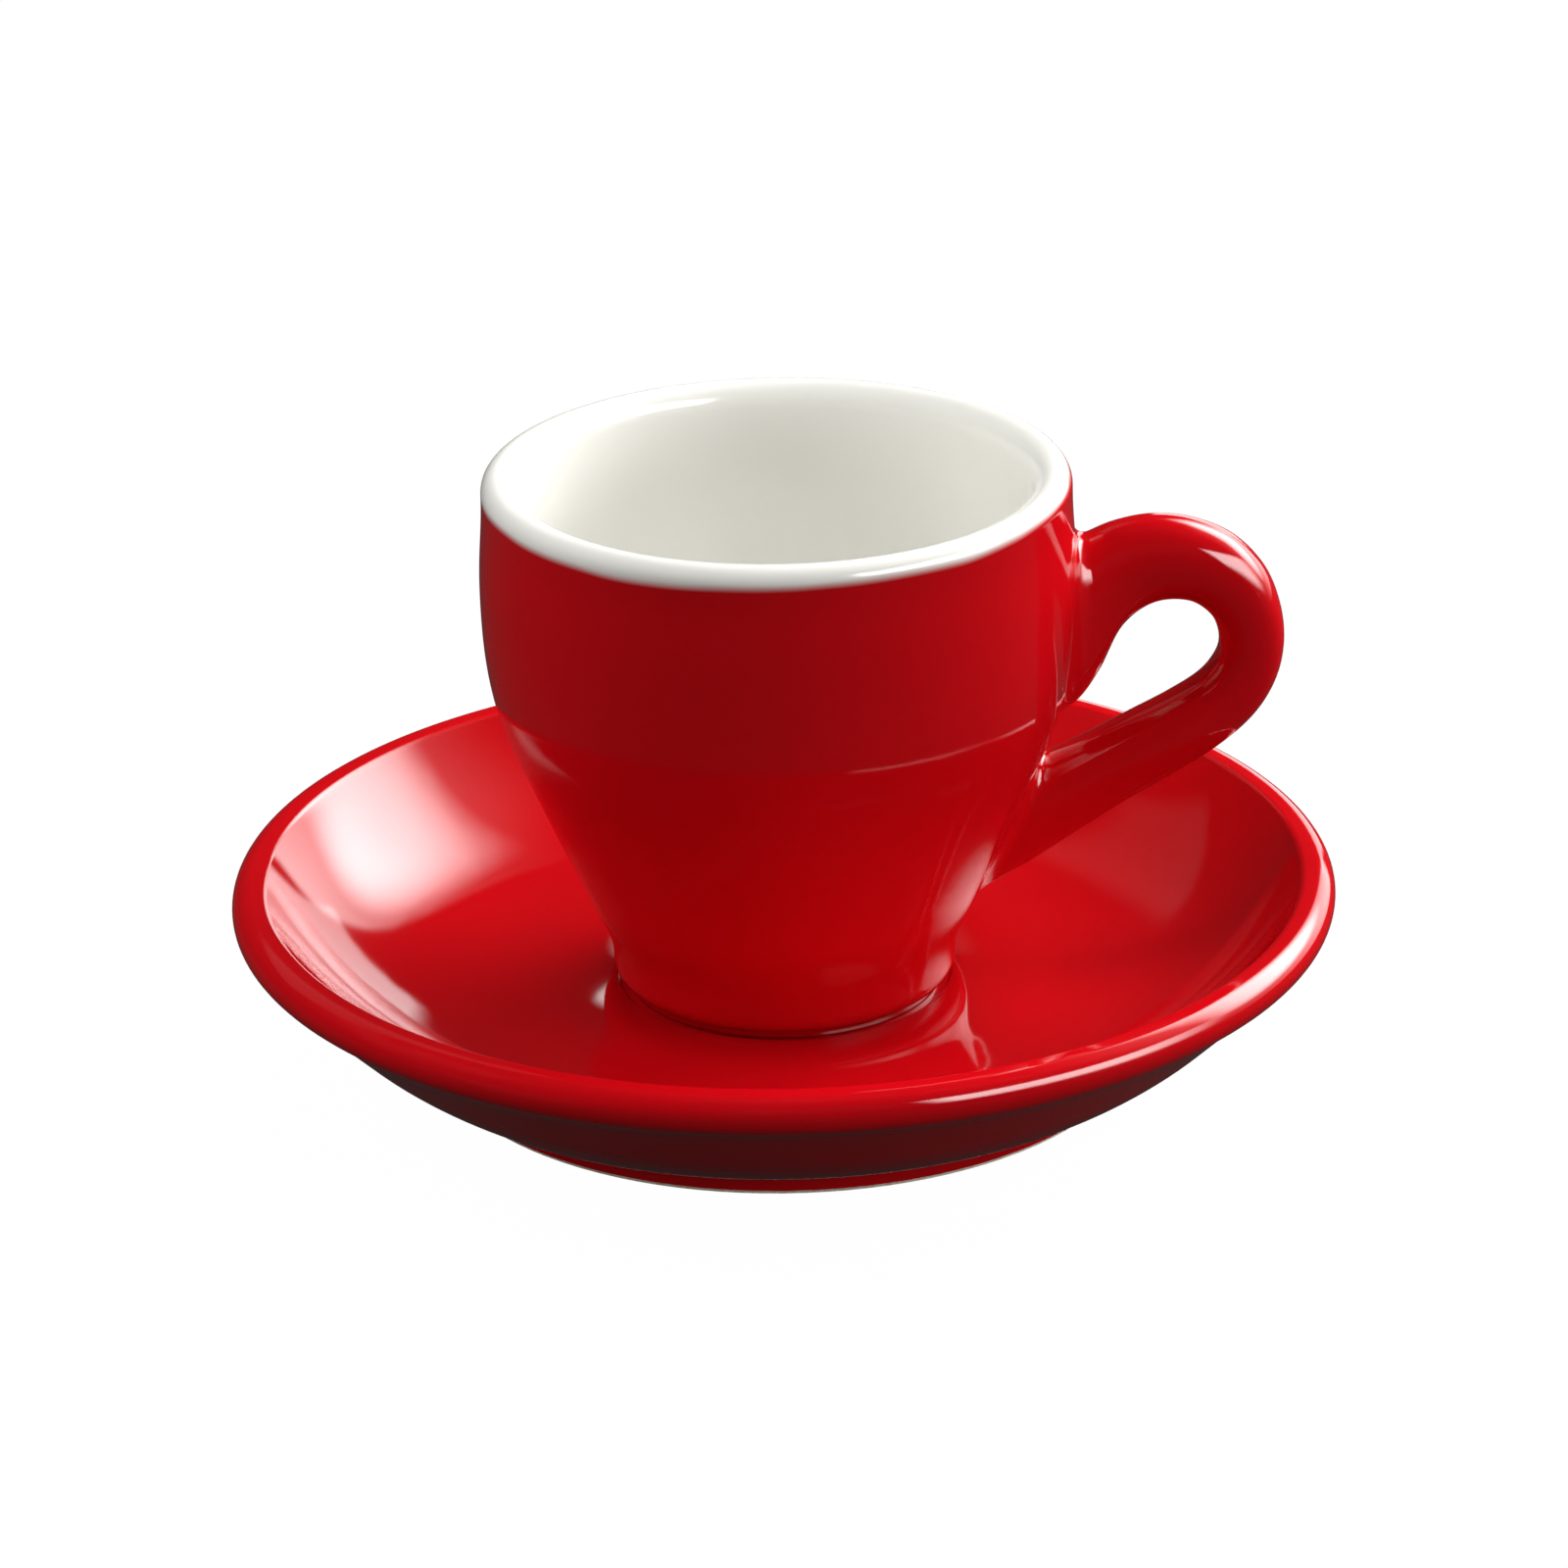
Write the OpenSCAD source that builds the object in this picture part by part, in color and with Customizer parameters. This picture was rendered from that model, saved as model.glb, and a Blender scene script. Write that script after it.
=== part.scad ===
// Espresso cup with its saucer, in glazed stoneware.
// The origin is on the table under the middle of the saucer, and the handle points along +X.
// The saucer stands on its foot ring, and the cup stands in the well of the saucer.
// The clay carries thin coats of glaze, and both foot rings are left bare.

/* [Saucer] */
// Outer diameter of the saucer
saucer_d = 120; // [114:1:130]
// Height of the rim above the table
saucer_h = 20.7; // [19:0.1:24]
// Radius of the rounding round the rim
rim_round = 2.2; // [1.8:0.1:2.6]
// Width of the level crest of the rim
rim_crest = 0.9; // [0.5:0.1:1.4]
// Radius of the edge where the crest turns down into the dish
rim_edge_round = 1; // [0.7:0.1:1.4]
// Outer diameter of the foot ring
saucer_foot_d = 78.2; // [74:0.2:80]
// Width of the foot ring
saucer_foot_w = 3.8; // [3:0.1:5]
// Height of the foot ring
saucer_foot_h = 2.4; // [2:0.1:3]
// Height of the hollow inside the foot ring
saucer_hollow_h = 3.2; // [2.8:0.1:3.8]
// Thickness of the floor of the dish
saucer_floor = 5; // [4:0.1:6]
// Diameter of the flat middle of the dish
dish_flat_d = 56; // [50:1:62]

/* [Well] */
// Room round the foot of the cup in the well
well_gap = 0.8; // [0.5:0.1:3]
// Depth of the well
well_depth = 0.5; // [0.3:0.1:0.8]
// Width of the soft step round the well
well_step = 0.8; // [0.6:0.1:2]

/* [Cup] */
// Height of the cup from its foot to the lip
cup_h = 58.7; // [57:0.1:64]
// Diameter of the cup at its widest
belly_d = 64; // [63:0.2:68]
// Drop from the lip to the widest place
belly_drop = 12.4; // [11:0.1:14]
// Outer diameter of the lip
lip_d = 62.8; // [61.6:0.2:64]
// Height of the rounded top of the lip, which is also the depth of the white band
lip_round = 1.8; // [1.4:0.1:2.2]
// Thickness of the wall with both coats
cup_wall = 4.1; // [3.4:0.1:4.6]
// Thickness of the floor over the hollow of the foot
cup_floor = 4.6; // [3.8:0.1:5.4]
// Lean of the tapered flank from upright, in degrees
flank_lean = 23.5; // [22:0.5:24.5]
// Height where the straight part of the flank begins
flank_h = 11; // [10:0.1:12]
// Height where the lines of flank and belly would cross
shoulder_h = 35; // [34:0.1:36]
// Length of the rounding on either side of that crossing
shoulder_round = 8.5; // [7:0.1:9]
// How far the bottom of the flank stands out past the foot ring
cup_base_step = 1.7; // [1.4:0.1:2]
// Height of the rounded edge under the flank
cup_base_h = 2.8; // [2.4:0.1:3.2]

/* [Cup foot] */
// Outer diameter of the cup's foot ring
cup_foot_d = 34; // [32.6:0.2:35]
// Width of the foot ring
cup_foot_w = 3.2; // [2.6:0.1:4]
// Height of the foot ring
cup_foot_h = 0.9; // [0.8:0.05:1.2]
// Height of the hollow inside the foot ring
cup_hollow_h = 1.6; // [1.4:0.1:2]

/* [Handle] */
// Reach of the handle past the widest place of the cup
handle_reach = 22.3; // [21:0.2:24]
// Drop from the lip to the top of the handle
handle_drop = 6; // [5:0.1:8]
// Height of the lower end of the handle above the foot
handle_tail = 9.8; // [9:0.2:11]
// Thickness of the handle with its coat, where it reaches out furthest
handle_t = 7; // [6:0.1:7.8]
// Width of the handle with its coat, across its loop
handle_w = 8.6; // [7.4:0.1:9.6]

/* [Glaze] */
// Thickness of every coat of glaze
glaze = 0.4; // [0.3:0.05:0.5]
// Height of the bare clay at the foot rings
bare_foot = 0.5; // [0.4:0.05:0.6]

/* [Hidden] */
$fn = 96;

// Colours of the clay and of the two glazes
CLAY = [0.86, 0.80, 0.72];
RED = [0.72, 0.02, 0.03];
WHITE = [0.92, 0.91, 0.87];

// Steps in a curve and in a rounding
curve_steps = 9;
round_steps = 8;

// Rounding of the inner edge of the lip
lip_inner_h = 2.6;

// Angles on the rim's rounding where the underside and the dish leave it
rim_under = -60;
rim_dish = 125;

// Slope of the underside where it leaves the foot ring
under_rise = 5;
// Where the underside bends between the foot ring and the rim, as shares of that run and rise
under_shares = [0.61, 0.4];
// Pulls of the underside's curve towards its corner, as shares of the stretch before the bend
under_pull_shares = [0.24, 0.34];
// How far the dish keeps out and up before it levels, as shares of its run and rise
dish_shares = [[0.79, 0.355], [0.56, 0]];
// Pulls of the curves towards their corners, as shares of each stretch
soft_share = 0.4;
shoulder_share = 0.75;

// The handle's stations from its upper root to its lower end. Each is how far out and how
// high its middle lies, as shares of reach and height, then the tilt of its section in
// degrees, then its thickness and width as shares of the handle's own.
station_shares = [
    [-0.19, 0.70, 86, 2.60, 1.70],
    [-0.01, 0.725, 88, 2.62, 1.40],
    [0.145, 0.79, 84, 2.34, 1.12],
    [0.29, 0.855, 73, 1.82, 1.00],
    [0.46, 0.88, 62, 1.43, 1.00],
    [0.64, 0.86, 52, 1.20, 1.00],
    [0.77, 0.80, 39, 1.09, 1.00],
    [0.83, 0.725, 22, 1.03, 0.98],
    [0.84, 0.65, 2, 1.00, 0.97],
    [0.80, 0.58, -20, 1.01, 0.97],
    [0.71, 0.515, -36, 1.04, 0.98],
    [0.55, 0.45, -50, 1.09, 1.00],
    [0.34, 0.385, -60, 1.14, 1.00],
    [0.115, 0.318, -67, 1.20, 1.00],
    [-0.09, 0.255, -76, 1.34, 1.04],
    [-0.31, 0.188, -83, 1.52, 1.06],
    [-0.54, 0.112, -88, 1.52, 0.90]
];
// How round the section of the handle is, where 1 is an ellipse and less is squarer
section_share = 0.83;
span_steps = 3;
handle_sides = 16;

// Heights and radii that follow
rim_r = saucer_d / 2 - rim_round;
rim_z = saucer_h - rim_round;
saucer_foot_r = saucer_foot_d / 2;
saucer_foot_in = saucer_foot_r - saucer_foot_w;
dish_flat_r = dish_flat_d / 2;
dish_z = saucer_hollow_h + saucer_floor;
seat_z = dish_z - well_depth;
belly_r = belly_d / 2;
belly_h = cup_h - belly_drop;
lip_r = lip_d / 2;
cup_foot_r = cup_foot_d / 2;
cup_foot_in = cup_foot_r - cup_foot_w;
cup_base_r = cup_foot_r + cup_base_step;
well_r = cup_foot_r + well_gap;
handle_top = cup_h - handle_drop;
lip_inner_r = lip_r - cup_wall;
inner_floor_h = cup_hollow_h + cup_floor;

// Points of a curve that leaves a towards b and reaches d from c, without its first point
function on_curve(a, b, c, d, t) =
    pow(1 - t, 3) * a + 3 * t * pow(1 - t, 2) * b + 3 * t * t * (1 - t) * c + pow(t, 3) * d;
function curve(a, b, c, d) =
    [for (i = [1:curve_steps]) on_curve(a, b, c, d, i / curve_steps)];

// Points of a rounding with the radii size, from one angle to another
function rounding(centre, size, from, to) =
    [for (i = [0:round_steps])
        let (angle = from + (to - from) * i / round_steps)
        centre + [size[0] * cos(angle), size[1] * sin(angle)]];
function tangent(angle) = [-sin(angle), cos(angle)];

// An open outline moved by d to the left of the way that it runs
function left_of(v) = [-v[1], v[0]] / norm(v);
function side_at(p, i) =
    let (before = left_of(p[max(i, 1)] - p[max(i, 1) - 1]),
         after = left_of(p[min(i, len(p) - 2) + 1] - p[min(i, len(p) - 2)]),
         both = before + after)
    2 * both / (both * both);
function moved(p, d) = [for (i = [0:len(p) - 1]) p[i] + d * side_at(p, i)];
function backwards(p) = [for (i = [len(p) - 1:-1:0]) p[i]];
function last(p) = p[len(p) - 1];

// A coat of glaze on the points of an outline from one to another, whose clay lies to the left
function slice(p, from, to) = [for (i = [from:to]) p[i]];
module coat(p, from, to) {
    rotate_extrude()
        polygon(concat(slice(p, from, to), backwards(slice(moved(p, glaze), from, to))));
}

// The underside of a dish or cup inside its foot ring, from the middle outwards
function hollow(foot_in, hollow_h) =
    concat([[0, hollow_h]],
        curve([foot_in - hollow_h, hollow_h], [foot_in - hollow_h * soft_share, hollow_h],
            [foot_in, hollow_h - hollow_h * soft_share], [foot_in, bare_foot]));

// Clay between two glazed outlines, with a bare foot ring that reaches the table or seat
module clay(outline, under) {
    outer = moved(outline, glaze);
    inner = moved(under, glaze);
    rotate_extrude()
        polygon(concat(outer, inner, [[last(inner)[0], 0], [outer[0][0], 0]]));
}

// Outline of the saucer from its foot ring, out under the wall, over the rim and into the dish
under_mid = [
    saucer_foot_r + (rim_r - saucer_foot_r) * under_shares[0],
    saucer_foot_h + (rim_z - saucer_foot_h) * under_shares[1]
];
foot_top = [saucer_foot_r, saucer_foot_h];
rim = concat(
    rounding([rim_r, rim_z], [rim_round, rim_round], rim_under, 90),
    rounding([rim_r - rim_crest, saucer_h - rim_edge_round], [rim_edge_round, rim_edge_round], 90, rim_dish)
);
wall_way = (rim[0] - under_mid) / norm(rim[0] - under_mid);
under_run = norm(under_mid - foot_top);
wall_run = norm(rim[0] - under_mid);
function in_dish(share) = [
    dish_flat_r + (last(rim)[0] - dish_flat_r) * share[0],
    dish_z + (last(rim)[1] - dish_z) * share[1]
];
saucer_outline = concat(
    [[saucer_foot_r, bare_foot], foot_top],
    curve(foot_top, foot_top + under_run * under_pull_shares[0] * [cos(under_rise), sin(under_rise)],
        under_mid - under_run * under_pull_shares[1] * wall_way, under_mid),
    curve(under_mid, under_mid + wall_run * soft_share / 2 * wall_way,
        rim[0] - rim_round * tangent(rim_under), rim[0]),
    slice(rim, 1, len(rim) - 1),
    curve(last(rim), in_dish(dish_shares[0]), in_dish(dish_shares[1]), [dish_flat_r, dish_z]),
    curve([well_r + well_step, dish_z], [well_r + well_step / 2, dish_z],
        [well_r + well_step / 2, seat_z], [well_r, seat_z]),
    [[0, seat_z]]
);

// Outside of the cup from its foot ring to the lip, above the seat
function on_flank(h) = [belly_r - (shoulder_h - h) * tan(flank_lean), h];
flank_low = [cup_base_r, cup_base_h];
flank_start = on_flank(flank_h);
flank_end = on_flank(shoulder_h - shoulder_round * cos(flank_lean));
shoulder = [belly_r, shoulder_h];
belly = [belly_r, belly_h];
lip_edge = [lip_r, cup_h - lip_round];
foot_edge = [cup_foot_r, cup_foot_h];
base_run = norm(flank_low - foot_edge);
flank_way = (flank_end - flank_start) / norm(flank_end - flank_start);
flare_run = norm(flank_start - flank_low);
cup_outside = concat(
    [[cup_foot_r, bare_foot], foot_edge],
    curve(foot_edge, foot_edge + [base_run * soft_share, 0],
        flank_low - [0, base_run * soft_share], flank_low),
    curve(flank_low, flank_low + [0, flare_run * soft_share],
        flank_start - flare_run * soft_share * flank_way, flank_start),
    curve(flank_end, flank_end + shoulder_share * (shoulder - flank_end),
        belly + shoulder_share * (shoulder - belly), belly),
    curve(belly, belly + [0, (lip_edge[1] - belly_h) * soft_share],
        lip_edge - [0, (lip_edge[1] - belly_h) * soft_share], lip_edge)
);

// Inside of the cup from the lip's edge over its top and down to the middle of the floor
lip_top_r = lip_r - lip_round;
wall_part = [for (p = cup_outside) if (p[1] >= flank_h && p[1] <= belly_h) p];
inner_wall = backwards(moved(wall_part, cup_wall));
inner_low = last(inner_wall);
floor_edge = [inner_low[0] / 2, inner_floor_h];
bowl_run = norm(inner_low - floor_edge);
cup_inside = concat(
    rounding([lip_top_r, cup_h - lip_round], [lip_round, lip_round], 0, 90),
    [for (p = rounding([lip_top_r, cup_h - lip_inner_h],
        [lip_top_r - lip_inner_r, lip_inner_h], 90, 180)) if (p[0] < lip_top_r - glaze / 2) p],
    inner_wall,
    curve(inner_low, inner_low - bowl_run * soft_share * flank_way,
        floor_edge + [bowl_run * soft_share, 0], floor_edge),
    [[0, inner_floor_h]]
);
cup_under = hollow(cup_foot_in, cup_hollow_h);
saucer_under = hollow(saucer_foot_in, saucer_hollow_h);
lip_start = len(cup_outside) - 1;
cup_outline = concat(cup_outside, slice(cup_inside, 1, len(cup_inside) - 1));

// The handle as rings of points round its stations, which are sized with the coat on
function between(a, b, c, d, t) =
    (2 * b + (c - a) * t + (2 * a - 5 * b + 4 * c - d) * t * t
        + (3 * b - a - 3 * c + d) * pow(t, 3)) / 2;
function station(i) = station_shares[min(max(i, 0), len(station_shares) - 1)];
stations = concat(
    [for (i = [0:len(station_shares) - 2], k = [0:span_steps - 1])
        between(station(i - 1), station(i), station(i + 1), station(i + 2), k / span_steps)],
    [last(station_shares)]
);
function full(v) = sign(v) * pow(abs(v), section_share);
function ring(s, grown) =
    let (middle = [belly_r + handle_reach * s[0],
            handle_tail + (handle_top - handle_tail) * s[1]],
         half_t = handle_t * s[3] / 2 + grown,
         half_w = handle_w * s[4] / 2 + grown)
    [for (k = [0:handle_sides - 1])
        let (turn = 360 * k / handle_sides,
             out = middle + half_t * full(cos(turn)) * [cos(s[2]), sin(s[2])])
        [out[0], half_w * full(sin(turn)), out[1]]];
module handle_form(grown, cut_short = 0) {
    rings = [for (i = [cut_short:len(stations) - 1 - cut_short]) ring(stations[i], grown)];
    n = handle_sides;
    end = len(rings) - 1;
    polyhedron(
        points = concat([for (r = rings, p = r) p], [
            [for (a = [0:2]) (rings[0][0][a] + rings[0][n / 2][a]) / 2],
            [for (a = [0:2]) (rings[end][0][a] + rings[end][n / 2][a]) / 2]
        ]),
        faces = concat(
            [for (i = [0:end - 1], k = [0:n - 1])
                let (j = (k + 1) % n) [i * n + k, (i + 1) * n + j, (i + 1) * n + k]],
            [for (i = [0:end - 1], k = [0:n - 1])
                let (j = (k + 1) % n) [i * n + k, i * n + j, (i + 1) * n + j]],
            [for (k = [0:n - 1]) [(end + 1) * n, (k + 1) % n, k]],
            [for (k = [0:n - 1]) [(end + 1) * n + 1, end * n + k, end * n + (k + 1) % n]]
        )
    );
}

// The cup filled in solid inside an outline of its outside, which trims what meets its wall
module filled_cup(outside) {
    rotate_extrude()
        polygon(concat([[0, 0], [outside[0][0], 0]], outside, [[0, last(outside)[1]]]));
}

module saucer_body() {
    color(CLAY) clay(saucer_outline, saucer_under);
}

module saucer_red_glaze() {
    color(RED) {
        coat(saucer_outline, 0, len(saucer_outline) - 1);
        coat(saucer_under, 0, len(saucer_under) - 1);
    }
}

module cup_body() {
    color(CLAY) translate([0, 0, seat_z]) clay(cup_outline, cup_under);
}

module cup_handle() {
    color(CLAY) translate([0, 0, seat_z]) difference() {
        handle_form(-glaze);
        filled_cup(slice(moved(cup_outline, glaze), 0, lip_start));
    }
}

module cup_white_glaze() {
    color(WHITE) translate([0, 0, seat_z]) coat(cup_outline, lip_start, len(cup_outline) - 1);
}

// The coat round the outside, which leaves the root of the handle free, and the coat in the foot
module cup_red_glaze() {
    color(RED) translate([0, 0, seat_z]) {
        difference() {
            coat(cup_outline, 0, lip_start);
            handle_form(-glaze);
        }
        coat(cup_under, 0, len(cup_under) - 1);
    }
}

module handle_red_glaze() {
    color(RED) translate([0, 0, seat_z]) difference() {
        handle_form(0, 1);
        handle_form(-glaze);
        filled_cup(cup_outside);
    }
}

saucer_body();
saucer_red_glaze();
cup_body();
cup_handle();
cup_white_glaze();
cup_red_glaze();
handle_red_glaze();
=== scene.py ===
"""The looks of an espresso cup with its saucer, in glazed stoneware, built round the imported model."""

import math

import bmesh
import bpy
from mathutils import Matrix, Vector

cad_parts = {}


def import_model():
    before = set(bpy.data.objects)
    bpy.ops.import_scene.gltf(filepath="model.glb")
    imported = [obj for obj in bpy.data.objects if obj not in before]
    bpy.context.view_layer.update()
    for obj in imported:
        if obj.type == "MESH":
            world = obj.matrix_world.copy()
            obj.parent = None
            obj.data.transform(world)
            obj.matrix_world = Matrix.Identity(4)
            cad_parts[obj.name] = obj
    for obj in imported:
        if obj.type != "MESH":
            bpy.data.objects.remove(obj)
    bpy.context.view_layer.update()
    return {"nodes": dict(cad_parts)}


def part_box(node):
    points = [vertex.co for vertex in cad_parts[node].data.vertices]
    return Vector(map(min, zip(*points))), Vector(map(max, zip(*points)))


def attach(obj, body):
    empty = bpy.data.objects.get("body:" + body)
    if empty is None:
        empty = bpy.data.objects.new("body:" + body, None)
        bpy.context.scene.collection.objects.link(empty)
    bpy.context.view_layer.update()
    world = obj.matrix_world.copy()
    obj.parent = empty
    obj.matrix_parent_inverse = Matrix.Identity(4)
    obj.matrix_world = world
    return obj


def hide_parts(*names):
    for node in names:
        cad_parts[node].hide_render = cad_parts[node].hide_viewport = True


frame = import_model()

# Shapes are worked out in millimetres, and each finished mesh is brought to metres.
MM = 0.001


def box_of(node):
    """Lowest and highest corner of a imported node, in millimetres."""
    low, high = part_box(node)
    return low / MM, high / MM


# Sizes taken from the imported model
_, saucer_top = box_of("saucer_red_glaze")
_, cup_red_top = box_of("cup_red_glaze")
_, cup_white_top = box_of("cup_white_glaze")
cup_bottom, _ = box_of("cup_body")
saucer_r = saucer_top.x
saucer_h = saucer_top.z
belly_r = cup_red_top.x
lip_z = cup_white_top.z
seat_z = cup_bottom.z
cup_h = lip_z - seat_z

# Saucer: the rounding outside the rim's level crest and the smaller one inside it, the foot ring, the hollow
# within the ring, the level part of the dish and the well that the cup stands in
RIM_ROUND = 2.2
RIM_CREST = 0.9
RIM_EDGE_ROUND = 1.0
SAUCER_FOOT_R = 39.1
SAUCER_FOOT_IN = 35.3
SAUCER_FOOT_H = 2.4
SAUCER_HOLLOW_H = 3.2
DISH_FLAT_R = 28
WELL_R = 17.8
WELL_DEPTH = 0.5
WELL_STEP = 0.8

# Angles in degrees: where the rim's outer rounding starts, its crest, where its inner rounding runs into
# the dish, and how steeply the underside leaves the foot ring
RIM_UNDER = -60
RIM_TOP = 90
RIM_DISH = 143
UNDER_RISE = 5

# Shares of their runs at which the saucer's curves bend and their handles end: the underside's bend between
# foot and rim, its handles, the wall's handle, and the dish's handles by the rim and by its level part
UNDER_BEND_SHARES = (0.61, 0.4)
UNDER_PULL_SHARES = (0.24, 0.34)
WALL_PULL_SHARE = 0.2
DISH_PULL_SHARES = (0.79, 0.355)
FLAT_PULL_SHARE = 0.56

# How far above the surface that they stand on the glaze of the foot rings starts
BARE_FOOT = 0.5
CUP_BARE_FOOT = 0.1

# Cup: belly and lip, the wall and floor with their glaze, the leaning flank and the rounding of the shoulder
# over it, and the base with its foot ring. Heights are above the seat.
BELLY_H = 46.3
LIP_R = 31.4
LIP_ROUND = 1.8
LIP_INNER_H = 2.6
CUP_WALL = 4.1
CUP_FLOOR = 4.6
FLANK_LEAN = math.radians(23.5)
FLANK_H = 11
SHOULDER_H = 35
SHOULDER_ROUND = 8.5
CUP_BASE_R = 18.7
CUP_BASE_H = 2.8
CUP_FOOT_R = 17
CUP_FOOT_IN = 13.8
CUP_FOOT_H = 0.9
CUP_HOLLOW_H = 1.6
LIP_PULL = 3

# The reach of the handles of a common curve, and of those along the shoulder
PULL_SHARE = 0.4
SHOULDER_PULL_SHARE = 0.75

# Handle: its reach beyond the belly, the heights of its top and its lower end above the seat, its thickness
# and width at the middle of the loop, and the power that makes its section squarer than an ellipse
HANDLE_REACH = 22.3
HANDLE_TOP = 52.7
HANDLE_TAIL = 9.8
HANDLE_T = 7.0
HANDLE_W = 8.6
SECTION_POWER = 0.83

# Roundings between the wall and the handle's roots: at the outer side of its loop, the inner and beside it
UPPER_FILLETS = (1.5, 0.7, 3.0)
LOWER_FILLETS = (1.5, 2.4, 2.8)
FILLET_PULL_SHARE = 0.58

# The thickness of the glaze. The handle's is a little thinner, so that its hidden side isn't on the clay's.
GLAZE = 0.4
HANDLE_GLAZE = 0.9 * GLAZE

# How finely the shapes are cut. A turned coat is spun as one sector, which is then doubled.
TURNS = 224
DOUBLINGS = 3
CURVE_STEPS = 22
ROUND_STEPS = 20
FLANK_STEPS = 8
WELL_STEPS = 6
HANDLE_SIDES = 72
HANDLE_STEPS = 150
FILLET_STEPS = 14

# How finely a line of the handle is followed to the wall, the small turn in radians that gives its way round
# the handle, and how far above and below a place the slope of the wall is taken
SEARCH_STEPS = 400
SMALL_TURN = 0.01
SLOPE_REACH = 0.5

# Points nearer to each other than this become one, and an edge sharper than the angle stays sharp
COAT_MERGE = GLAZE / 100
HANDLE_MERGE = GLAZE / 1000
SHARP_ANGLE = math.radians(40)

# Colours: each glaze clouds between two, the red has darker flecks, and the clay has grains of two. All three
# bend light like glass.
RED_CLOUDS = ((0.500, 0.0018, 0.0046, 1), (0.550, 0.0026, 0.0068, 1))
RED_FLECK = (0.43, 0.0012, 0.0032, 1)
WHITE_CLOUDS = ((0.800, 0.792, 0.740, 1), (0.835, 0.828, 0.785, 1))
CLAY_GRAINS = ((0.62, 0.50, 0.38, 1), (0.78, 0.68, 0.56, 1))
GLASS_IOR = 1.5

# The line under the lip where red turns to white: how far it wavers, its rise to the right for each
# millimetre, its further rise by the handle and where that starts and ends, and its width below and above
LINE_WAVER = 1.3
LINE_LEAN = 0.008
LINE_RISE = 0.8
LINE_RISE_FROM = 18
LINE_RISE_TO = 30
LINE_BELOW = 0.55
LINE_ABOVE = 0.5

# The radii between which the lip's white glaze may turn red outwards
WHITE_EDGE = (LIP_R - 1.4, LIP_R - 1.1)

# How deep the waves of the glazes, the rings left by turning and the clay's grain are
RED_WAVES = 0.012
WHITE_WAVES = 0.015
SAUCER_RINGS = 0.010
CUP_RINGS = 0.004
CLAY_GRAIN = 0.06

# The floor's own grey, the white that the camera sees on it, the share of that which the glaze mirrors, the
# floor's radius in metres, and the grey of the room
FLOOR_GREY = 0.01
FLOOR_WHITE = 0.99
MIRRORED_SHARE = 0.02
FLOOR_R = 6
ROOM_GREY = 0.02

# What the lamps point at, in metres, how far away they are, and how the edge of a plain one fades
AIM = Vector((0, 0, 30 * MM))
LAMP_DISTANCE = 1.2
SOFT_EDGE = (0.1, 0.1, 0.1, 0.1)

# The camera: what it points at and how far it is in millimetres, its tilt and roll in radians, and its lens
CAMERA_TARGET = (0.244, 0, 30.1)
CAMERA_DISTANCE = 627.05
CAMERA_TILT = 0.3944
CAMERA_ROLL = -0.0174
LENS = 132.85


def curve(a, b, c, d, steps=CURVE_STEPS):
    """Points of a curve that leaves a towards b and reaches d from c, without its first point."""
    shares = [i / steps for i in range(1, steps + 1)]
    return [a * (1 - t) ** 3 + b * 3 * t * (1 - t) ** 2 + c * 3 * t * t * (1 - t) + d * t ** 3
            for t in shares]


def rounding(centre, size, start, end, steps=ROUND_STEPS):
    """Points of a rounding with the radii size, from one angle in degrees to another."""
    angles = [math.radians(start + (end - start) * i / steps) for i in range(steps + 1)]
    return [centre + Vector((size[0] * math.cos(a), size[1] * math.sin(a))) for a in angles]


def tangent(angle):
    """The way that a circle runs at an angle in degrees."""
    return Vector((-math.sin(math.radians(angle)), math.cos(math.radians(angle))))


def moved(outline, distance):
    """An open outline moved to the left of the way that it runs."""
    sides = []
    for a, b in zip(outline, outline[1:]):
        way = (b - a).normalized()
        sides.append(Vector((-way.y, way.x)))
    points = []
    for i, p in enumerate(outline):
        both = sides[max(i - 1, 0)] + sides[min(i, len(sides) - 1)]
        points.append(p + both * (2 * distance / both.length_squared))
    return points


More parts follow.
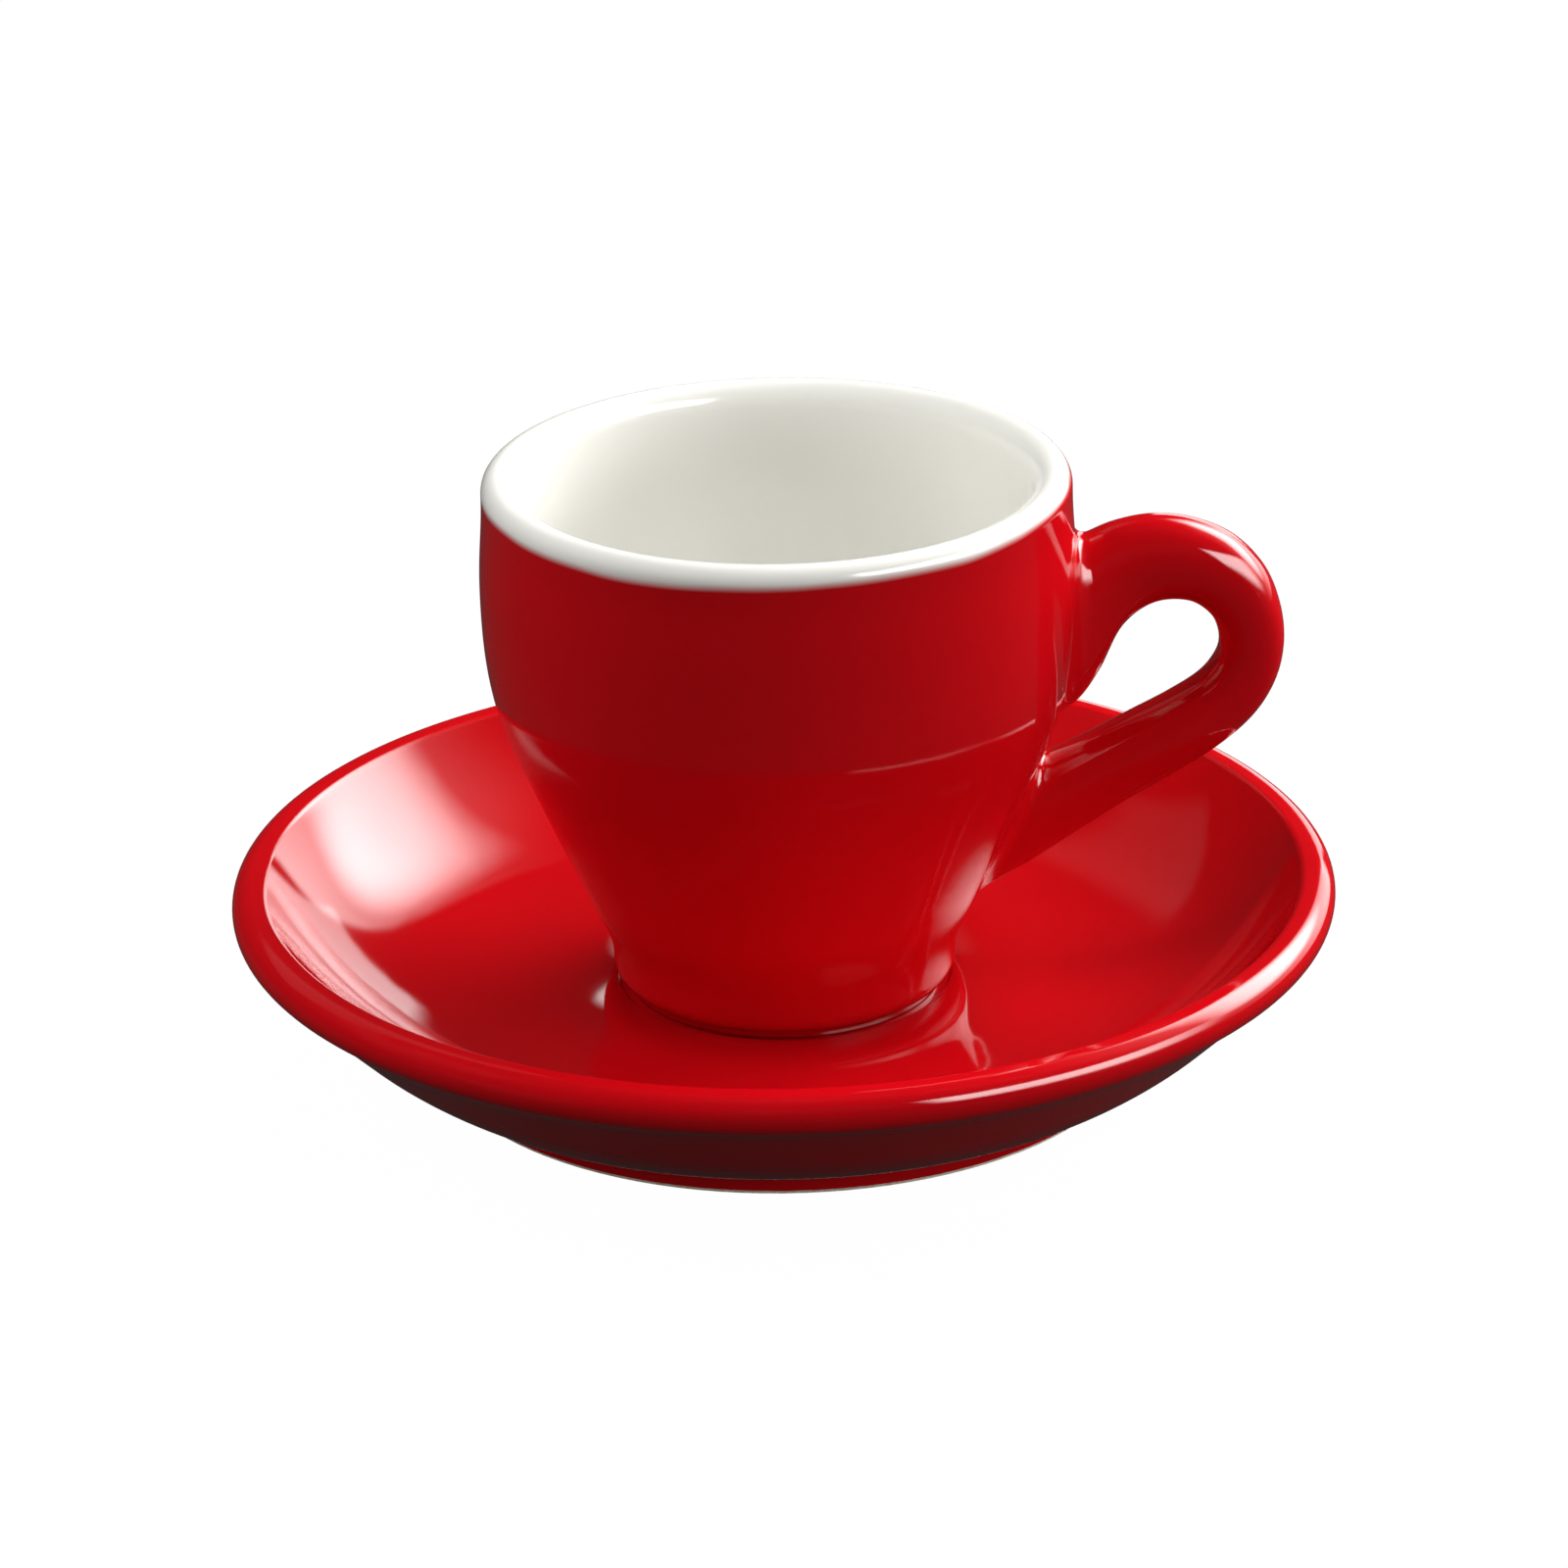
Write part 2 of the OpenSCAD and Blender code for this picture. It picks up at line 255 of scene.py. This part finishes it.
def saucer_outline():
    """The glazed outside of the saucer, from its foot ring over the rim to the middle of the well."""
    rim_centre = Vector((saucer_r - RIM_ROUND, saucer_h - RIM_ROUND))
    edge_centre = Vector((saucer_r - RIM_ROUND - RIM_CREST, saucer_h - RIM_EDGE_ROUND))
    rim = (rounding(rim_centre, (RIM_ROUND, RIM_ROUND), RIM_UNDER, RIM_TOP)
           + rounding(edge_centre, (RIM_EDGE_ROUND, RIM_EDGE_ROUND), RIM_TOP, RIM_DISH, ROUND_STEPS // 2))
    foot_top = Vector((SAUCER_FOOT_R, SAUCER_FOOT_H))
    run = rim_centre - foot_top
    bend = foot_top + run * Vector(UNDER_BEND_SHARES)
    wall_way = (rim[0] - bend).normalized()
    under_run = (bend - foot_top).length
    wall_run = (rim[0] - bend).length
    rise = math.radians(UNDER_RISE)
    leave, arrive = UNDER_PULL_SHARES
    dish_z = seat_z + WELL_DEPTH
    flat = Vector((DISH_FLAT_R, dish_z))
    fall = rim[-1] - flat
    half_step = WELL_STEP / 2
    return (
        [Vector((SAUCER_FOOT_R, BARE_FOOT)), foot_top]
        + curve(foot_top, foot_top + Vector((math.cos(rise), math.sin(rise))) * under_run * leave,
                bend - wall_way * under_run * arrive, bend)
        + curve(bend, bend + wall_way * wall_run * WALL_PULL_SHARE,
                rim[0] - tangent(RIM_UNDER) * RIM_ROUND, rim[0])
        + rim[1:]
        + curve(rim[-1], flat + fall * Vector(DISH_PULL_SHARES),
                flat + Vector((fall.x * FLAT_PULL_SHARE, 0)), flat, 2 * CURVE_STEPS)
        + curve(Vector((WELL_R + WELL_STEP, dish_z)), Vector((WELL_R + half_step, dish_z)),
                Vector((WELL_R + half_step, seat_z)), Vector((WELL_R, seat_z)), WELL_STEPS)
        + [Vector((WELL_R / 2, seat_z)), Vector((0, seat_z))]
    )


def hollow(foot_in, height):
    """The glazed underside inside a foot ring, from the middle outwards."""
    pull = height * PULL_SHARE
    return [Vector((0, height))] + curve(
        Vector((foot_in - height, height)), Vector((foot_in - pull, height)),
        Vector((foot_in, height - pull)), Vector((foot_in, BARE_FOOT)))


def cup_outside():
    """The outside of the cup from its foot ring to the edge of the lip, above the seat."""
    tan, cos = math.tan(FLANK_LEAN), math.cos(FLANK_LEAN)
    flank_low = Vector((CUP_BASE_R, CUP_BASE_H))
    start = Vector((belly_r - (SHOULDER_H - FLANK_H) * tan, FLANK_H))
    end_h = SHOULDER_H - SHOULDER_ROUND * cos
    end = Vector((belly_r - (SHOULDER_H - end_h) * tan, end_h))
    shoulder = Vector((belly_r, SHOULDER_H))
    belly = Vector((belly_r, BELLY_H))
    lip_edge = Vector((LIP_R, cup_h - LIP_ROUND))
    foot_edge = Vector((CUP_FOOT_R, CUP_FOOT_H))
    base_pull = (flank_low - foot_edge).length * PULL_SHARE
    flare_pull = (start - flank_low).length * PULL_SHARE
    lip_pull = (lip_edge.y - BELLY_H) * PULL_SHARE
    way = (end - start).normalized()
    return (
        [Vector((CUP_FOOT_R, CUP_BARE_FOOT)), foot_edge]
        + curve(foot_edge, foot_edge + Vector((base_pull, 0)),
                flank_low - Vector((0, base_pull)), flank_low)
        + curve(flank_low, flank_low + Vector((0, flare_pull)), start - way * flare_pull, start)
        + [start.lerp(end, i / FLANK_STEPS) for i in range(1, FLANK_STEPS + 1)]
        + curve(end, end.lerp(shoulder, SHOULDER_PULL_SHARE), belly.lerp(shoulder, SHOULDER_PULL_SHARE),
                belly, 2 * CURVE_STEPS)
        + curve(belly, belly + Vector((0, lip_pull)), lip_edge - Vector((0, lip_pull)), lip_edge)
    )


def cup_inside(outside):
    """The white side of the cup, from the edge of the lip over its top to the middle of the floor."""
    lip_top_r = LIP_R - LIP_ROUND
    lip_inner_r = LIP_R - CUP_WALL
    over = rounding(Vector((lip_top_r, cup_h - LIP_ROUND)), (LIP_ROUND, LIP_ROUND), 0, 90)
    under = rounding(Vector((lip_top_r, cup_h - LIP_INNER_H)),
                     (lip_top_r - lip_inner_r, LIP_INNER_H), 90, 180)
    wall = moved([p for p in outside if FLANK_H <= p.y <= BELLY_H], CUP_WALL)[::-1]
    low = wall[-1]
    way = (wall[-2] - wall[-1]).normalized()
    edge = Vector((low.x / 2, CUP_HOLLOW_H + CUP_FLOOR))
    pull = (low - edge).length * PULL_SHARE
    drop = Vector((0, LIP_PULL))
    return (over + under[1:]
            + curve(under[-1], under[-1] - drop, wall[0] + drop, wall[0])
            + wall[1:]
            + curve(low, low - way * pull, edge + Vector((pull, 0)), edge)
            + [Vector((0, edge.y))])


def finish_mesh(shape, name, body, slot, material, *replaced):
    """Brings a shape to metres and makes it a smooth piece on its body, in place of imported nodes."""
    bmesh.ops.transform(shape, matrix=Matrix.Scale(MM, 4), verts=shape.verts)
    mesh = bpy.data.meshes.new(name)
    shape.to_mesh(mesh)
    shape.free()
    mesh.shade_smooth()
    mesh.set_sharp_from_angle(angle=SHARP_ANGLE)
    mesh.materials.append(material)
    piece = bpy.data.objects.new(name, mesh)
    bpy.context.scene.collection.objects.link(piece)
    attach(piece, body)
    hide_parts(*replaced)


def coat(name, outlines, base_z, body, slot, material, *replaced):
    """A closed coat of one or more outlines turned round the axis, whose clay lies to their left.

    A sector of a turn is spun, and then it is doubled until the turn is full. An edge on the axis would turn
    on the spot, so it is left out.
    """
    shape = bmesh.new()
    for outline in outlines:
        inside = moved(outline, GLAZE)[::-1]
        loop = [shape.verts.new((max(p.x, 0), 0, p.y + base_z)) for p in outline + inside]
        for pair in zip(loop, loop[1:] + loop[:1]):
            if max(v.co.x for v in pair) > GLAZE / 2:
                shape.edges.new(pair)
    sectors = 2 ** DOUBLINGS
    sector = 2 * math.pi / sectors
    bmesh.ops.spin(shape, geom=shape.verts[:] + shape.edges[:], cent=(0, 0, 0), axis=(0, 0, 1),
                   angle=sector, steps=TURNS // sectors)
    for doubling in range(DOUBLINGS):
        copy = bmesh.ops.duplicate(shape, geom=shape.verts[:] + shape.edges[:] + shape.faces[:])
        bmesh.ops.rotate(shape, verts=[part for part in copy["geom"] if isinstance(part, bmesh.types.BMVert)],
                         cent=(0, 0, 0), matrix=Matrix.Rotation(sector * 2 ** doubling, 3, "Z"))
    bmesh.ops.remove_doubles(shape, verts=shape.verts, dist=COAT_MERGE)
    bmesh.ops.recalc_face_normals(shape, faces=shape.faces)
    finish_mesh(shape, name, body, slot, material, *replaced)


# The handle's stations from its upper root to its lower end. Each is how far out and how high
# its middle lies, as shares of reach and height, then the tilt of its section in degrees,
# then its thickness and width as shares of the handle's own.
STATION_SHARES = [
    (-0.19, 0.70, 86, 2.60, 1.70),
    (-0.01, 0.725, 88, 2.62, 1.40),
    (0.145, 0.79, 84, 2.34, 1.12),
    (0.29, 0.855, 73, 1.82, 1.00),
    (0.46, 0.88, 62, 1.43, 1.00),
    (0.64, 0.86, 52, 1.20, 1.00),
    (0.77, 0.80, 39, 1.09, 1.00),
    (0.83, 0.725, 22, 1.03, 0.98),
    (0.84, 0.65, 2, 1.00, 0.97),
    (0.80, 0.58, -20, 1.01, 0.97),
    (0.71, 0.515, -36, 1.04, 0.98),
    (0.55, 0.45, -50, 1.09, 1.00),
    (0.34, 0.385, -60, 1.14, 1.00),
    (0.115, 0.318, -67, 1.20, 1.00),
    (-0.09, 0.255, -76, 1.34, 1.04),
    (-0.31, 0.188, -83, 1.52, 1.06),
    (-0.54, 0.112, -88, 1.52, 0.90),
]


def station(along):
    """The handle's station at a share of the way along it, on a smooth line through the table."""
    last = len(STATION_SHARES) - 1
    place = min(max(along, 0), 1) * last
    i = min(int(place), last - 1)
    t = place - i
    rows = [STATION_SHARES[min(max(k, 0), last)] for k in (i - 1, i, i + 1, i + 2)]
    return [(2 * b + (c - a) * t + (2 * a - 5 * b + 4 * c - d) * t * t
             + (3 * b - a - 3 * c + d) * t ** 3) / 2 for a, b, c, d in zip(*rows)]


def full(value):
    """A sine or cosine drawn out, so that the section gets squarer than an ellipse."""
    return math.copysign(abs(value) ** SECTION_POWER, value)


def on_handle(along, turn):
    """A point on the handle's surface, before its roots are rounded into the wall."""
    out, up, tilt, thick, wide = station(along)
    tilt = math.radians(tilt)
    half_t = HANDLE_T * thick / 2 * full(math.cos(turn))
    half_w = HANDLE_W * wide / 2 * full(math.sin(turn))
    return Vector((belly_r + HANDLE_REACH * out + half_t * math.cos(tilt), half_w,
                   seat_z + HANDLE_TAIL + (HANDLE_TOP - HANDLE_TAIL) * up + half_t * math.sin(tilt)))


def wall_radius(z, outside):
    """Radius of the cup's outside at a height above the table."""
    height = z - seat_z
    for a, b in zip(outside, outside[1:]):
        if a.y <= height <= b.y and b.y > a.y:
            return a.x + (b.x - a.x) * (height - a.y) / (b.y - a.y)
    return outside[-1].x


def on_wall(point, outside):
    """The point of the cup's wall at the height and bearing of a point."""
    flat = Vector((point.x, point.y)).normalized() * wall_radius(point.z, outside)
    return Vector((flat.x, flat.y, point.z))


def wall_normal(point, outside):
    """Which way the wall faces there."""
    above = wall_radius(point.z + SLOPE_REACH, outside)
    below = wall_radius(point.z - SLOPE_REACH, outside)
    slope = (above - below) / (2 * SLOPE_REACH)
    flat = Vector((point.x, point.y)).normalized()
    return Vector((flat.x, flat.y, -slope)).normalized()


def middle_of(along):
    """The middle of the handle's section at a share of the way along it."""
    return (on_handle(along, 0) + on_handle(along, math.pi)) / 2


def root_line(turn, from_upper, outside):
    """One line of the handle near a root: where it leaves the handle, and its rounding onto the wall.

    The line is followed from the middle of the handle towards the root until it meets the wall. The rounding
    leaves it a little before that place, and lands on the wall as far beyond it.
    """
    shares = [i / SEARCH_STEPS / 2 for i in range(SEARCH_STEPS, -1, -1)]
    path = shares if from_upper else [1 - share for share in shares]
    points = [on_handle(along, turn) for along in path]
    meets = next((i for i, p in enumerate(points)
                  if math.hypot(p.x, p.y) < wall_radius(p.z, outside)), SEARCH_STEPS)
    joint = on_wall(points[meets], outside)
    outer, inner, side = UPPER_FILLETS if from_upper else LOWER_FILLETS
    edge = outer if math.cos(turn) > 0 else inner
    size = edge + (side - edge) * math.sin(turn) ** 2
    leave = meets
    while leave > 0 and (points[leave] - joint).length < size:
        leave -= 1
    normal = wall_normal(joint, outside)
    around = (on_handle(path[meets], turn + SMALL_TURN)
              - on_handle(path[meets], turn - SMALL_TURN)).normalized()
    along = (points[meets] - points[leave]).normalized()
    face = along.cross(around)
    if face.dot(points[meets] - middle_of(path[meets])) < 0:
        face = -face
    away = (face - normal * face.dot(normal)).normalized()
    landing = on_wall(joint + away * size, outside)
    landing_normal = wall_normal(landing, outside)
    back = joint - landing
    back = (back - landing_normal * back.dot(landing_normal)).normalized()
    start = points[leave]
    start_way = (points[leave + 1] - points[leave]).normalized()
    pull = size * FILLET_PULL_SHARE
    return path[leave], curve(start, start + start_way * pull, landing + back * pull, landing, FILLET_STEPS)


def handle(outside, material):
    """The coat of the handle, whose two roots run out onto the wall.

    A grid is laid along and around the handle, its two long sides are merged, and it gets its thickness.
    """
    shape = bmesh.new()
    rows = 2 * FILLET_STEPS + HANDLE_STEPS
    lines = []
    for k in range(HANDLE_SIDES):
        turn = 2 * math.pi * k / HANDLE_SIDES
        upper, rise = root_line(turn, True, outside)
        lower, fall = root_line(turn, False, outside)
        between = [on_handle(upper + (lower - upper) * i / HANDLE_STEPS, turn)
                   for i in range(HANDLE_STEPS + 1)]
        lines.append(rise[::-1] + between + fall)
    bmesh.ops.create_grid(shape, x_segments=rows, y_segments=HANDLE_SIDES, size=1)
    shape.verts.ensure_lookup_table()
    for vert in shape.verts:
        along = round((vert.co.x + 1) / 2 * rows)
        around = round((vert.co.y + 1) / 2 * HANDLE_SIDES) % HANDLE_SIDES
        vert.co = lines[around][along]
    bmesh.ops.remove_doubles(shape, verts=shape.verts, dist=HANDLE_MERGE)
    bmesh.ops.recalc_face_normals(shape, faces=shape.faces)
    bmesh.ops.solidify(shape, geom=shape.faces[:], thickness=HANDLE_GLAZE)
    finish_mesh(shape, "handle_coat", "cup", "red_glaze", material, "handle_red_glaze")


class Socket:
    """A node's output, on which sums and products of values add Math nodes."""

    def __init__(self, nodes, output):
        self.nodes = nodes
        self.output = output

    def maths(self, operation, *values):
        """A Math node on this value and others."""
        return self.nodes.add("ShaderNodeMath", {"operation": operation}, self, *values)

    def __add__(self, other):
        return self.maths("ADD", other)

    def __sub__(self, other):
        return self.maths("SUBTRACT", other)

    def __mul__(self, other):
        return self.maths("MULTIPLY", other)

    def __rsub__(self, other):
        return self.nodes.add("ShaderNodeMath", {"operation": "SUBTRACT"}, other, self)

    __radd__ = __add__
    __rmul__ = __mul__


class Nodes:
    """The nodes of a material, a lamp or the room."""

    def __init__(self, tree):
        self.tree = tree

    def add(self, kind, settings=None, *values, out=0, **named):
        """A node with its settings, then the values or links of its sockets by place or name."""
        node = self.tree.nodes.new(kind)
        for key, value in (settings or {}).items():
            setattr(node, key, value)
        for place, value in list(enumerate(values)) + [(k.replace("_", " "), v) for k, v in named.items()]:
            self.feed(node.inputs[place], value)
        return Socket(self, node.outputs[out])

    def feed(self, socket, value):
        """Links a socket or sets its value."""
        if isinstance(value, Socket):
            self.tree.links.new(value.output, socket)
        else:
            socket.default_value = value

    def between(self, value, low, high, start=0.0, end=1.0):
        """A value's way from low to high, softly turned into start to end."""
        return self.add("ShaderNodeMapRange", {"interpolation_type": "SMOOTHSTEP"}, value,
                        low, high, start, end, out="Result")

    def parts(self, vector):
        """The three parts of a vector."""
        split = self.add("ShaderNodeSeparateXYZ", None, vector)
        return [Socket(self, output) for output in split.output.node.outputs]


class Shader(Nodes):
    """A material's nodes."""

    def __init__(self, name, **look):
        self.material = bpy.data.materials.new(name)
        self.material.use_nodes = True
        super().__init__(self.material.node_tree)
        self.surface = self.tree.nodes["Principled BSDF"]
        for socket, value in look.items():
            self.set(socket.replace("_", " "), value)

    def set(self, name, value):
        """Feeds one socket of the surface."""
        self.feed(self.surface.inputs[name], value)

    def place(self):
        """Places on the piece, in metres."""
        return self.add("ShaderNodeTexCoord", out="Object")

    def noise(self, size, detail=2.0):
        """Noise with patches of about a size in millimetres, from 0 to 1."""
        return self.add("ShaderNodeTexNoise", {"noise_dimensions": "3D"}, Vector=self.place(),
                        Scale=1 / (size * MM), Detail=detail, out="Fac")

    def blend(self, share, first, second):
        """A mix of two colours, whose sockets come after the node's own for numbers and vectors."""
        mix = self.tree.nodes.new("ShaderNodeMix")
        mix.data_type = "RGBA"
        for place, value in ((0, share), (6, first), (7, second)):
            self.feed(mix.inputs[place], value)
        return Socket(self, mix.outputs[2])

    def radius(self):
        """How far a place lies from the axis, in metres."""
        x, y, _ = self.parts(self.place())
        return (x * x + y * y).maths("SQRT")

    def bump(self, height, depth):
        """Dents of a depth in millimetres, where height runs from 0 to 1."""
        self.set("Normal", self.add("ShaderNodeBump", None, Strength=1.0, Distance=depth * MM,
                                    Height=height, out="Normal"))


def glaze_looks(shader):
    """The colours of the red and of the white glaze, with their clouds and flecks."""
    red = shader.blend(shader.noise(size=24), *RED_CLOUDS)
    fleck = shader.between(shader.noise(size=1.3, detail=3), low=0.62, high=0.8, start=0, end=0.25)
    red = shader.blend(fleck, red, RED_FLECK)
    white = shader.blend(shader.noise(size=18), *WHITE_CLOUDS)
    return red, white


def lip_line(shader):
    """How white the glaze is: the red's edge wavers under the lip, where the white shows through."""
    x, _, z = shader.parts(shader.place())
    rise = (shader.noise(size=22) - 0.5) * (LINE_WAVER * MM) + x * LINE_LEAN
    rise = rise + shader.between(x, LINE_RISE_FROM * MM, LINE_RISE_TO * MM, 0, LINE_RISE * MM)
    line = (lip_z - LIP_ROUND) * MM
    return shader.between(z - rise, line - LINE_BELOW * MM, line + LINE_ABOVE * MM)


def turning_marks(shader):
    """Fine rings left by the wheel, a little uneven, as heights from 0 to 1."""
    x, y, z = shader.parts(shader.place())
    slow_height = 0.5
    slow_turn = 0.03
    spacing = 2.2 * MM
    across = shader.add("ShaderNodeCombineXYZ", None, shader.radius(), z * slow_height, (x + y) * slow_turn)
    return shader.add("ShaderNodeTexNoise", {"noise_dimensions": "3D"}, Vector=across,
                      Scale=1 / spacing, Detail=1.0, out="Fac")


def red_glaze(name, rings=0.0, lip=False):
    """A deep red glaze with a mirror gloss, over rings of a depth in millimetres."""
    shader = Shader(name, IOR=GLASS_IOR)
    red, white = glaze_looks(shader)
    shader.set("Base Color", shader.blend(lip_line(shader), red, white) if lip else red)
    shader.set("Roughness", shader.between(shader.noise(size=9), low=0.3, high=0.7, start=0.045, end=0.075))
    waves = shader.noise(size=5.5, detail=1)
    if rings:
        waves = waves + turning_marks(shader) * (rings / RED_WAVES)
    shader.bump(waves, RED_WAVES)
    return shader.material


def white_glaze():
    """A warm white glaze with a mirror gloss, which the red runs into under the lip."""
    shader = Shader("white_glaze", IOR=GLASS_IOR)
    red, white = glaze_looks(shader)
    inner, outer = WHITE_EDGE
    within = shader.between(shader.radius(), inner * MM, outer * MM, start=1, end=0)
    shader.set("Base Color", shader.blend(within.maths("MAXIMUM", lip_line(shader)), red, white))
    shader.set("Roughness", shader.between(shader.noise(size=9), low=0.3, high=0.7, start=0.07, end=0.11))
    shader.bump(shader.noise(size=6, detail=1), WHITE_WAVES)
    return shader.material


def clay():
    """Matt fired stoneware with a fine grain."""
    shader = Shader("bare_stoneware", IOR=GLASS_IOR)
    grain = shader.noise(size=0.5, detail=4)
    shader.set("Base Color", shader.blend(shader.between(grain, low=0.35, high=0.65), *CLAY_GRAINS))
    shader.set("Roughness", shader.between(grain, low=0.3, high=0.7, start=0.78, end=0.95))
    shader.bump(grain, CLAY_GRAIN)
    return shader.material


def paint(node, material):
    """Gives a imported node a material."""
    mesh = frame["nodes"][node].data
    mesh.materials.clear()
    mesh.materials.append(material)


def floor():
    """A plain floor, white to the camera and faint in the glaze, that keeps the shadow."""
    shader = Shader("pale_floor", Roughness=0.9, Specular_IOR_Level=0.0)
    shader.set("Base Color", (FLOOR_GREY, FLOOR_GREY, FLOOR_GREY, 1))
    path = shader.add("ShaderNodeLightPath").output.node.outputs
    seen = (Socket(shader, path["Is Camera Ray"]) + Socket(shader, path["Is Transmission Ray"])
            + Socket(shader, path["Is Glossy Ray"]) * MIRRORED_SHARE)
    shader.set("Emission Color", (1, 1, 1, 1))
    shader.set("Emission Strength", seen * FLOOR_WHITE)
    shape = bmesh.new()
    bmesh.ops.create_circle(shape, cap_ends=True, segments=96, radius=FLOOR_R)
    mesh = bpy.data.meshes.new("floor")
    shape.to_mesh(mesh)
    shape.free()
    mesh.materials.append(shader.material)
    piece = bpy.data.objects.new("floor", mesh)
    bpy.context.scene.collection.objects.link(piece)


def lamp(name, bearing, height, size, glow, roll=0.0, soft=None, mirrored=True, lights=True):
    """A softbox that faces the cup, at a bearing from +X and a height in degrees.

    Its size is half its width and half its height in degrees. Its light fades over the shares soft of
    its width and height, at the side of the lower bearing first, then the other side, its bottom and
    top, or without them from its middle to all sides. Glow is the brightness of its middle. A lamp that
    isn't mirrored doesn't show in the glaze, and one that doesn't light shows there alone.
    """
    bearing, height = math.radians(bearing), math.radians(height)
    across = 2 * LAMP_DISTANCE * math.cos(height) * math.tan(math.radians(size[0]))
    upright = 2 * LAMP_DISTANCE * math.tan(math.radians(size[1]))
    data = bpy.data.lights.new(name, "AREA")
    data.shape = "RECTANGLE"
    data.size = across
    data.size_y = upright
    data.energy = glow * math.pi * across * upright
    data.use_nodes = True
    nodes = Nodes(data.node_tree)
    u, v, _ = nodes.parts(nodes.add("ShaderNodeNewGeometry", out="Parametric"))
    if soft:
        light = nodes.between(u, 0, soft[0]) * nodes.between(1 - u, 0, soft[1])
        light = light * nodes.between(v, 0, soft[2]) * nodes.between(1 - v, 0, soft[3])
    else:
        middle = 0.5
        off = (u - middle) * (u - middle) + (v - middle) * (v - middle)
        light = nodes.between(off, middle ** 2, 0)
    nodes.feed(nodes.tree.nodes["Emission"].inputs["Strength"], light)
    piece = bpy.data.objects.new(name, data)
    bpy.context.scene.collection.objects.link(piece)
    way = Vector((math.cos(bearing) * math.cos(height), math.sin(bearing) * math.cos(height),
                  math.sin(height)))
    turn = way.to_track_quat("Z", "Y").to_matrix() @ Matrix.Rotation(math.radians(roll), 3, "Z")
    piece.matrix_world = Matrix.Translation(AIM + way * LAMP_DISTANCE) @ turn.to_4x4()
    piece.visible_glossy = mirrored
    piece.visible_diffuse = lights


def world():
    """A plain dark grey room."""
    room = bpy.data.worlds.new("room")
    bpy.context.scene.world = room
    room.use_nodes = True
    room.node_tree.nodes["Background"].inputs["Color"].default_value = (ROOM_GREY, ROOM_GREY, ROOM_GREY, 1)


def camera():
    """The camera at the photograph's place: a long lens, turned a little, so that the right rises."""
    distance = CAMERA_DISTANCE * MM
    target = Vector(CAMERA_TARGET) * MM
    data = bpy.data.cameras.new("camera")
    data.lens = LENS
    data.sensor_width = 36
    data.clip_start = 0.01
    data.clip_end = 50
    piece = bpy.data.objects.new("camera", data)
    bpy.context.scene.collection.objects.link(piece)
    turn = Matrix.Rotation(math.pi / 2 - CAMERA_TILT, 4, "X") @ Matrix.Rotation(CAMERA_ROLL, 4, "Z")
    place = target + Vector((0, -math.cos(CAMERA_TILT), math.sin(CAMERA_TILT))) * distance
    piece.matrix_world = Matrix.Translation(place) @ turn
    bpy.context.scene.camera = piece


outside = cup_outside()
inside = cup_inside(outside)

saucer_red = red_glaze("saucer_red_glaze", rings=SAUCER_RINGS)
cup_red = red_glaze("cup_red_glaze", rings=CUP_RINGS, lip=True)
handle_red = red_glaze("handle_red_glaze")
white = white_glaze()
bare = clay()
for node in ("saucer_body", "cup_body", "cup_handle"):
    paint(node, bare)

coat("saucer_coat", [saucer_outline(), hollow(SAUCER_FOOT_IN, SAUCER_HOLLOW_H)], 0,
     "saucer", "red_glaze", saucer_red, "saucer_red_glaze")
coat("cup_red_coat", [outside, hollow(CUP_FOOT_IN, CUP_HOLLOW_H)], seat_z,
     "cup", "red_glaze", cup_red, "cup_red_glaze")
coat("cup_white_coat", [inside], seat_z, "cup", "white_glaze", white, "cup_white_glaze")
handle(outside, handle_red)

floor()
world()

# The window, the sun, the side lamp, the leaf and the faint lamp at the back show in the glaze, the side lamp
# there alone. The others only light the set softly.
lamp("window", 31, 26, (40, 40), glow=4.5, roll=-18, soft=(0.8, 0.05, 0.57, 0.68))
lamp("sun", 40, 31, (38, 19), glow=10.5, roll=20)
lamp("side", -25, 25, (37, 17), glow=12, roll=-12, soft=(0.12, 0.45, 0.4, 0.2), lights=False)
lamp("right", -20, 42, (22, 14), glow=2.8, soft=SOFT_EDGE, mirrored=False)
lamp("leaf", 75, 7, (11, 9.5), glow=2.4, soft=SOFT_EDGE)
lamp("back", 122, 38, (28, 12), glow=0.15, soft=(0.2, 0.2, 0.1, 0.3))
lamp("top", 0, 80, (40, 20), glow=5.2, soft=SOFT_EDGE, mirrored=False)
lamp("left", 172, 40, (22, 20), glow=4.8, soft=SOFT_EDGE, mirrored=False)
lamp("low_left", -150, 8, (20, 8), glow=3.2, soft=SOFT_EDGE, mirrored=False)
lamp("low_right", -20, 8, (20, 8), glow=7.5, soft=SOFT_EDGE, mirrored=False)
lamp("front", -85, 30, (18, 14), glow=2.3, soft=SOFT_EDGE, mirrored=False)
camera()
bpy.context.scene.view_settings.view_transform = "Standard"
